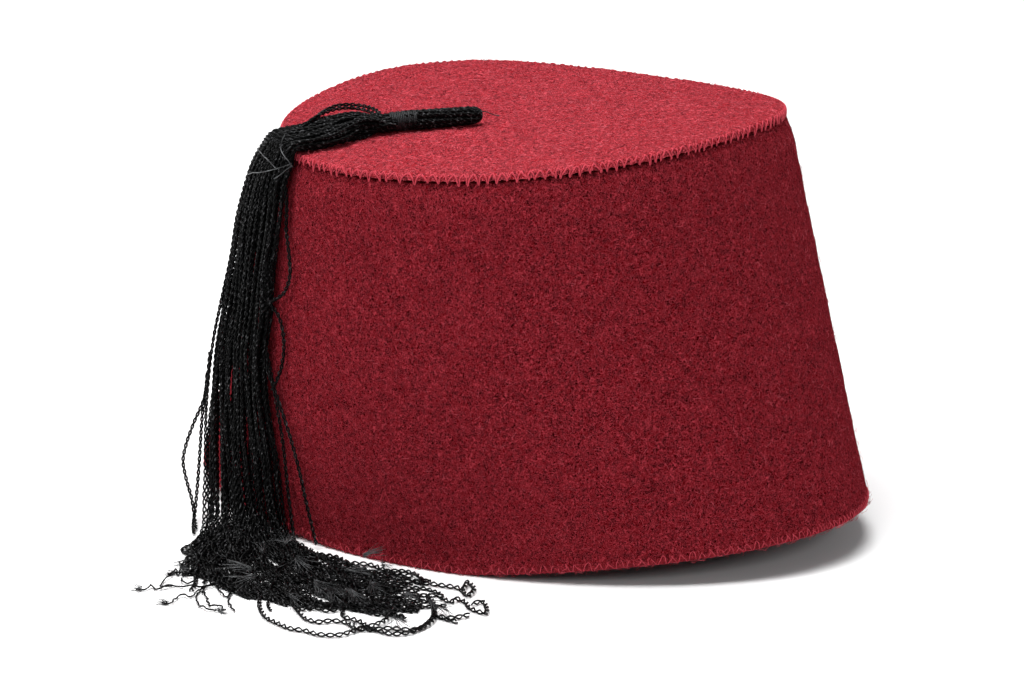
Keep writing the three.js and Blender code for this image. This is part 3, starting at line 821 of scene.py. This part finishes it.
hanging = [
    [[-56.6, 76.4, 42.5], [-58.4, 76.1, 35.9], [-62.1, 78.1, 27.4], [-64.5, 79.1, 21.7],
     [-65.9, 79.3, 17.4], [-66.6, 77.9, 12.2], [-68.4, 74.9, 7.4], [-71.1, 71.9, 2.1], [-76, 68, 1.2]],
    [[-54.9, 76.4, 48.2], [-57.1, 76.1, 40.2], [-59.7, 76.1, 31.7], [-62.8, 75.3, 20.2],
     [-65.8, 74.6, 8.8], [-68.9, 73.3, 3.5], [-74, 70.4, 1.2], [-80, 66, 1.0]],
    [[-49.5, 47.0, 117.0], [-46.0, 46.5, 118.6], [-41.8, 45.8, 120.0], [-34.6, 46.2, 120.9],
     [-31.7, 45.5, 121.3], [-29.8, 43.4, 121.5], [-28.9, 40.2, 121.5], [-29.4, 36.0, 121.4],
     [-32.0, 31.0, 120.9], [-34.5, 28.5, 120.0]],
    [[-49.0, 48.0, 116.8], [-43.7, 46.0, 119.3], [-37.7, 45.5, 120.4], [-33.7, 43.6, 120.9],
     [-31.3, 41.2, 121.0], [-31.0, 37.4, 120.9], [-32.5, 32.6, 120.6], [-34.0, 29.5, 120.2]],
]
# Beside the bundle: degrees round the hat, a share of the wall's height, and a distance out of the wall
beside = [
    [[236.2, 0.52, 3.4], [240.0, 0.38, 1.6], [244.0, 0.24, 1.4], [246.8, 0.11, 2.0], [249.5, 0.015, 3.5]],
    [[237.0, 0.46, 3.4], [243.6, 0.32, 1.6], [248.0, 0.21, 1.4], [251.0, 0.11, 1.8], [254.3, 0.01, 3.0]],
    [[236.6, 0.96, 3.0], [238.2, 0.88, 1.8], [238.6, 0.82, 1.5], [240.4, 0.77, 1.5], [241.8, 0.70, 1.6],
     [240.2, 0.65, 1.8], [237.4, 0.62, 3.0], [235.0, 0.58, 4.4]],
    [[235.4, 0.63, 4.2], [239.4, 0.58, 1.6], [241.3, 0.53, 1.3], [241.5, 0.45, 1.3], [240.3, 0.38, 2.4]],
]
for route in beside:
    turn, height, out = np.array(route).T
    turn = np.radians(turn)
    hanging.append(wall_point(turn, height, 0.0) + wall_outward(turn) * out[:, None])
loose_paths = curve_through([np.asarray(route) for route in lying + hanging], 190)
loose_count = len(loose_paths)
is_lying = np.arange(loose_count) < len(lying)
loose_away = np.where(is_lying[:, None, None], [0.0, 0.0, 1.0], [-0.87, -0.49, 0.3]) + 0 * loose_paths
loose_opening = np.where(is_lying, 0.8, 0.1)[:, None] + 0 * loose_paths[..., 0]
first_turn = random.random((loose_count, 1)) * full_turn
ply_paths, ply_away = twisted(loose_paths, loose_away, loose_opening, first_turn)
points, faces = tubes(ply_paths, ply_away, loose_ply_radius, 4)
add_piece("loose_cords", points, faces, black_cord, "tassel_cord")

# Frayed ends: single plies that came untwisted at the pile's left, and brushes of filaments where cords
# were cut. The bare filaments look greyer than the cords.
frayed, dye = new_material("frayed_rayon", {"Roughness": 0.4, "Specular IOR Level": 0.3})
place = dye.node("ShaderNodeTexCoord", {}, {}, "Object")
shades = place.noise(260.0, 1.0)
shades = ((shades - 0.35) * 3.0).clamped()
dress(frayed, "Base Color", shades.blend((0.01, 0.01, 0.011, 1.0), (0.12, 0.124, 0.128, 1.0)))
splayed = [
    [[-110.6, 35], [-114.2, 36.9], [-116.8, 39.3], [-118.9, 43.1], [-120.1, 46.5], [-123.1, 47],
     [-124, 48.5], [-122, 50.7], [-125.5, 50.5], [-126.8, 52.7]],
    [[-120.2, 45.2], [-122.3, 47.1], [-116.8, 50.2], [-112.8, 50.8], [-108, 52.6], [-111.5, 49.5],
     [-106.6, 51.8], [-102.2, 55.3]],
    [[-113.8, 35.5], [-117.5, 37.1], [-121, 36.4], [-124.7, 36.4], [-125, 38.8], [-128.3, 38.5],
     [-131.4, 37.7], [-132.6, 39.8]],
    [[-115.7, 37.2], [-119.9, 36.3], [-124.3, 34.1], [-129.6, 28.7], [-130.4, 25.6], [-129.8, 23.4]],
    [[-114.8, 37.2], [-118.5, 36], [-122.9, 31.6], [-127.6, 26.7], [-127.2, 24.4], [-129.1, 21.4]],
    [[-113.5, 35], [-116.3, 32], [-118.5, 29.6], [-120, 26.4], [-123.6, 24], [-127.8, 19]],
    [[-109.1, 40.8], [-109.8, 44.2], [-114.9, 42.4], [-115.9, 44.3], [-113.5, 46.9]],
    [[-104.0, 41.0], [-108.5, 43.5], [-111.0, 46.5], [-110.0, 50.0], [-112.0, 52.5]],
]
splay_steps = 70
splayed = [np.column_stack([route, np.full(len(route), 0.5)]) for route in splayed]
splay_paths = curve_through(splayed, splay_steps)
splay_paths[..., 0] += drift(len(splayed), np.linspace(0, 40, splay_steps), 6.0, 0.35)
splay_paths[..., 2] += 0.25 + 0.25 * np.sin(np.linspace(0, 25, splay_steps))
up = np.array([0.0, 0.0, 1.0])
points, faces = tubes(splay_paths, up + 0 * splay_paths, loose_ply_radius, 4)
add_piece("splayed_plies", points, faces, black_cord, "tassel_cord")

# The rows give where a brush starts and where its hairs end, in plan, its height, and its hairs' spread
brushes = np.array([
    [-82.7, 5.9, -74.4, 4.3, 5.0, 0.2], [-83.9, -0.8, -80.6, -2.1, 4.0, 0.4],
    [-87.9, -13.2, -84.4, -12.0, 4.0, 0.5], [-110.8, 23.7, -117.3, 28.4, 4.5, 0.4],
    [-97.2, 30.5, -91.4, 32.5, 6.5, 0.3], [-97.3, 19.1, -102.5, 10.7, 6.5, 0.2],
    [-117.0, 8.0, -119.3, 2.3, 3.5, 0.3], [-107.3, 27.8, -105.1, 37.4, 5.0, 0.2],
    [-101.8, -8.9, -106.9, -14.6, 5.5, 0.3], [-102.9, -20.2, -105.1, -24.4, 4.5, 0.3],
    [-114.5, -23.8, -120.9, -33.1, 2.0, 0.4], [-100.1, -26.7, -103.7, -31.8, 3.0, 0.3],
    [-100.4, -31.1, -103.4, -35.4, 2.0, 0.3], [-108.9, 0.3, -116.0, -6.8, 4.5, 0.25],
    [-107.5, 6.1, -115.0, -2.0, 5.0, 0.25], [-107.5, -5.4, -114.6, -12.4, 4.5, 0.25],
    [-100.5, 53.0, -104.1, 57.0, 1.0, 0.5], [-110.3, 51.3, -112.3, 54.3, 0.8, 0.4],
    [-126.0, 51.5, -127.3, 54.0, 0.8, 0.4], [-131.6, 38.8, -133.2, 41.5, 0.8, 0.3],
    [-129.5, 23.4, -130.8, 20.0, 0.8, 0.3], [-107.0, 48.5, -108.4, 51.8, 0.8, 0.3],
    [-88.9, 28.0, -84.0, 33.0, 7.0, 0.3], [-98.0, 2.0, -93.0, -4.0, 6.0, 0.3],
    [-122.0, -16.0, -126.5, -18.5, 1.5, 0.3],
])
hairs_each = 16
hair_radius = 0.1
start = np.repeat(brushes[:, :2], hairs_each, 0)
aim = np.repeat(brushes[:, 2:4], hairs_each, 0)
height, spread = np.repeat(brushes[:, 4:], hairs_each, 0).T
hair_count = len(start)
swing = random.normal(size=hair_count) * spread
reach = (aim - start) * random.uniform(0.55, 1.05, (hair_count, 1))
reach = np.stack([
    reach[:, 0] * np.cos(swing) - reach[:, 1] * np.sin(swing),
    reach[:, 0] * np.sin(swing) + reach[:, 1] * np.cos(swing),
], -1)
share = np.linspace(0.0, 1.0, 8)
curl = np.stack([-reach[:, 1], reach[:, 0]], -1) * random.normal(size=(hair_count, 1)) * 0.25
hair_plan = start[:, None] + reach[:, None] * share[:, None] + curl[:, None] * (share**2)[:, None]
hair_plan += random.normal(size=(hair_count, 1, 2)) * 0.25
hair_z = height[:, None] + random.normal(size=(hair_count, 1)) * 0.3
hair_z = hair_z + random.normal(size=(hair_count, 1)) * share
hair_z = np.maximum(hair_z - 1.5 * spread[:, None] * share**2, 0.15)
hair_paths = np.concatenate([hair_plan, hair_z[..., None]], -1)
points, faces = tubes(hair_paths, up + 0 * hair_paths, hair_radius * (1 - 0.6 * share)[None], 3)
add_piece("frayed_brushes", points, faces, frayed, "tassel_cord")

# Tacking threads: thin grey thread that gathers the cords where they pass over the crown's edge, and the
# tail of thread that comes out of the hank's fold.
tack_radius = 0.14
tacks = [
    [[-49.8, 64.8, 102.2], [-53.2, 61.2, 103.7], [-58.9, 54.6, 105.6], [-61.9, 49.7, 107.2],
     [-63.9, 45.7, 108.6], [-63.9, 42.5, 109.8], [-62.7, 41.0, 110.4]],
    [[-57.5, 46.6, 117.3], [-60.8, 45.5, 116.2], [-62.0, 45.1, 114.7], [-64.3, 42.9, 113.3],
     [-63.4, 41.7, 111.2], [-61.7, 41.3, 109.2]],
    [[-65.4, 45.4, 106.0], [-64.8, 43.7, 107.2], [-63.7, 42.4, 108.6], [-62.8, 40.9, 109.8]],
    [[-50.0, 61.5, 110.4], [-56.7, 54.9, 110.3], [-60.5, 50.3, 109.8], [-63.9, 45.7, 108.7]],
    [[-18.4, 6.0, 121.4], [-15.4, 4.4, 120.6], [-13.4, 3.6, 119.6], [-12.4, 2.2, 119.2]],
]
tack_paths = curve_through([np.array(route) for route in tacks], 40)
# The four at the edge lie on the cords, so they stand a little further out than their routes
tack_paths[:4] += np.array([-0.84, -0.48, 0.25]) * 0.3
tack_away = np.array([-0.84, -0.48, 0.3]) + 0 * tack_paths
points, faces = tubes(tack_paths, tack_away, tack_radius, 4)
add_piece("tacking_threads", points, faces, frayed, "tassel_cord")

# Fuzz: loose fibres of the felt's own wool, rubbed up by wear, that stand a little off the side wall and the
# top. Along the cut rim they point down.
fibre_radius = 0.045


def fuzz(base, outward, along, count):
    """Fibres 0.9 to 2.6 mm long, one at each base. Each arches up from the surface as part of a sine wave,
    and curls to one side as a square."""
    share = np.linspace(0.0, 1.0, 4)[None, :, None]
    length = random.uniform(0.9, 2.6, (count, 1, 1))
    height = random.uniform(0.15, 0.75, (count, 1, 1)) ** 1.5
    heading = unit(along)[:, None]
    beside = np.cross(outward, unit(along))[:, None]
    curl = beside * random.normal(size=(count, 1, 1)) * share**2 * 0.5
    path = base[:, None] + heading * length * (share - 0.5) + curl
    return path + outward[:, None] * (height * np.sin(share * 2.2) * 1.3 - 0.06)


def fuzz_material(name, first, second):
    """Wool whose fibres vary from place to place between two colours."""
    material, dye = new_material(name, {"Roughness": 0.9, "Specular IOR Level": 0.05})
    shades = dye.node("ShaderNodeTexCoord", {}, {}, "Object").noise(320.0, 1.0)
    dress(material, "Base Color", ((shades - 0.35) * 3.0).clamped().blend(first, second))
    return material


side_fuzz_count = 5200
turn = random.random(side_fuzz_count) * 2 * np.pi
on_rim = random.random(side_fuzz_count) < 0.1
height = np.where(on_rim, 0.003, random.random(side_fuzz_count) ** 1.1 * 0.985)
base = wall_point(turn, height, 0.0)
outward = unit(wall_outward(turn) + up * (np.where(height < 0.004, -0.7, 0.2))[:, None])
heading = np.cross(outward, random.normal(size=(side_fuzz_count, 3)))
side_fuzz = fuzz(base, outward, heading, side_fuzz_count)
side_fuzz[..., 2] = np.maximum(side_fuzz[..., 2], 0.08)
points, faces = tubes(side_fuzz, outward[:, None] + 0 * side_fuzz, fibre_radius, 3)
side_wool = fuzz_material("side_wool", (0.2, 0.008, 0.014, 1.0), (0.6, 0.09, 0.12, 1.0))
add_piece("side_wall_fuzz", points, faces, side_wool, "side_felt")

top_fuzz_count = 2600
turn = random.random(top_fuzz_count) * 2 * np.pi
reach = np.sqrt(random.random(top_fuzz_count)) * 0.995
base = disc_point(turn, reach, 0.0)
outward = unit(up + wall_outward(turn) * np.clip((reach - 0.9) * 8, 0, 1)[:, None])
heading = np.cross(outward, random.normal(size=(top_fuzz_count, 3)))
top_fuzz = fuzz(base, outward, heading, top_fuzz_count)
points, faces = tubes(top_fuzz, outward[:, None] + 0 * top_fuzz, fibre_radius, 3)
# The top's fibres are painted lighter than the side's, for the light that falls on the top
top_wool_painted_lighter = fuzz_material("top_wool_painted_lighter", (0.35, 0.02, 0.03, 1.0), (0.75, 0.16, 0.2, 1.0))
add_piece("top_fuzz", points, faces, top_wool_painted_lighter, "top_felt")
